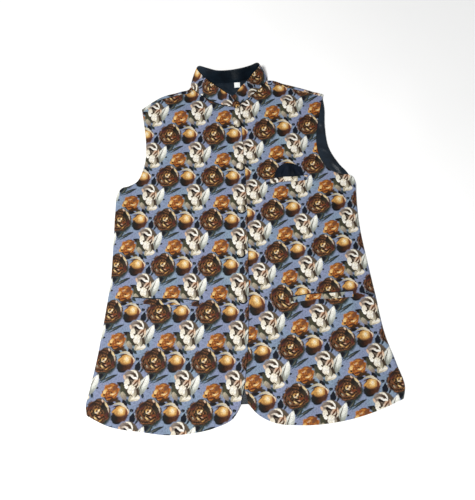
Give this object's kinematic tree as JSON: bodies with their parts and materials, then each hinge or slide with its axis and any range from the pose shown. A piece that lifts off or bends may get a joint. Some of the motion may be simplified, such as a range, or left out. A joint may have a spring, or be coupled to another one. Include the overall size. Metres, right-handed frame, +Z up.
{
  "type": "nehru jacket",
  "caption": "Sleeveless stand-collar Nehru jacket in rose-printed cloth with navy lining, covered buttons and welt pockets, laid flat on its back.",
  "frame": {"origin": "centre of the bounding box's bottom face, on the surface that the jacket lies on", "axes": "+Y towards the collar, the longest extent; +X towards the wearer's left; +Z up out of the surface, the shortest extent"},
  "size_m": [0.6249, 0.777, 0.0386],
  "materials": {
    "printed_cloth": "woven, rose print on lavender blue",
    "navy_lining": "smooth twill lining",
    "square_cloth": "plain dark navy cloth",
    "label_cloth": "bare white tape"
  },
  "bodies": {
    "root": {"back": "printed_cloth", "back_lining": "navy_lining", "front_left": "printed_cloth", "front_right": "printed_cloth", "collar": "printed_cloth", "collar_lining": "navy_lining", "chest_welt": "printed_cloth", "pocket_square": "square_cloth", "pocket_welt_left": "printed_cloth", "pocket_welt_right": "printed_cloth", "button_1": "printed_cloth", "button_2": "printed_cloth", "button_3": "printed_cloth", "button_4": "printed_cloth", "button_5": "printed_cloth", "button_6": "printed_cloth", "neck_label": "label_cloth"}
  },
  "joints": []
}
